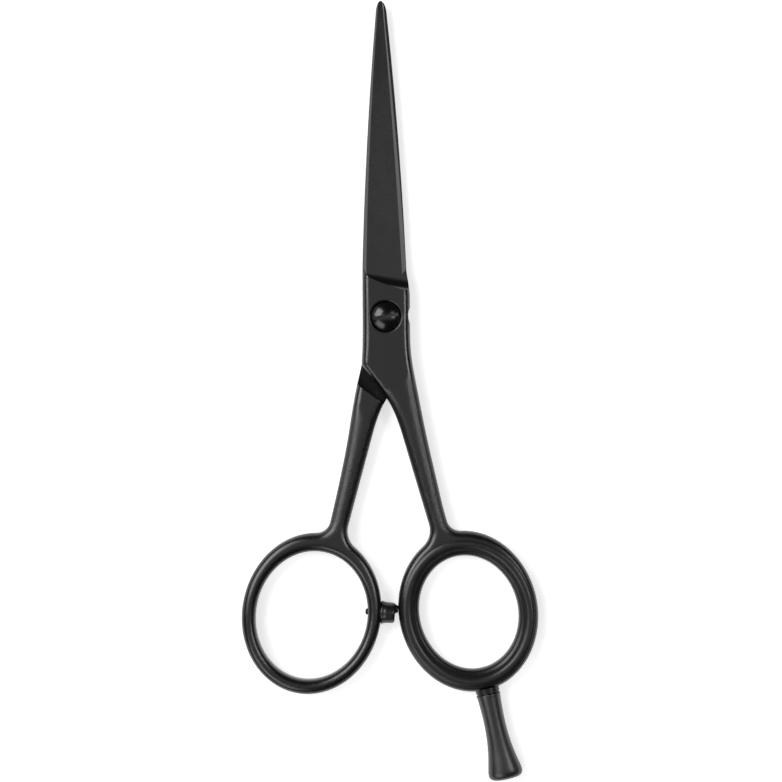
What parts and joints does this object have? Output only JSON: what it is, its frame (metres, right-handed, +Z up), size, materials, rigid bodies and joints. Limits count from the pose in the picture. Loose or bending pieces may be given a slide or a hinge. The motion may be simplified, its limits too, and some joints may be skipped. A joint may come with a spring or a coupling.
{
  "type": "hair cutting shears",
  "caption": "Hair cutting shears: slim ground blades on a slotted pivot screw, oval finger loops with a soft ring insert, a bumper between the loops and a flared finger rest.",
  "frame": {"origin": "on the pivot axis, in the plane that the closed shears rest on: the flat underside of the lower half, where the screw end is flush", "axes": "+Y from the pivot towards the blade tips along the middle of the closed shears, +Z up through the thickness along the pivot axis, towards the screw head, +X towards the finger loop"},
  "size_m": [0.06, 0.1582, 0.0054],
  "materials": {
    "coated_steel": "matte black coated steel",
    "screw_steel": "polished black steel",
    "stud_steel": "black oxide steel",
    "spring_steel": "bright spring steel",
    "soft_rubber": "satin black rubber",
    "grip_plastic": "satin black plastic",
    "nylon": "natural nylon"
  },
  "bodies": {
    "thumb_side": {"thumb_half": "coated_steel", "glide_washer": "nylon", "bumper": "soft_rubber", "bumper_stud": "stud_steel"},
    "finger_side": {"finger_half": "coated_steel", "spring_washer": "spring_steel", "ring_insert": "soft_rubber", "finger_rest_stud": "stud_steel", "finger_rest_seal": "soft_rubber", "finger_rest": "grip_plastic"},
    "tension_screw": {"pivot_screw": "screw_steel", "thread_pellet": "nylon"}
  },
  "joints": [
    {"name": "blade_pivot", "type": "hinge", "parent": "thumb_side", "child": "finger_side", "pos_m": [0, 0, 0.0025], "axis": [0, 0, 1], "range_deg": [0, 130]},
    {"name": "tension_screw_turn", "type": "hinge", "parent": "thumb_side", "child": "tension_screw", "pos_m": [0, 0, 0.0025], "axis": [0, 0, 1], "range_deg": [-60, 60]}
  ]
}
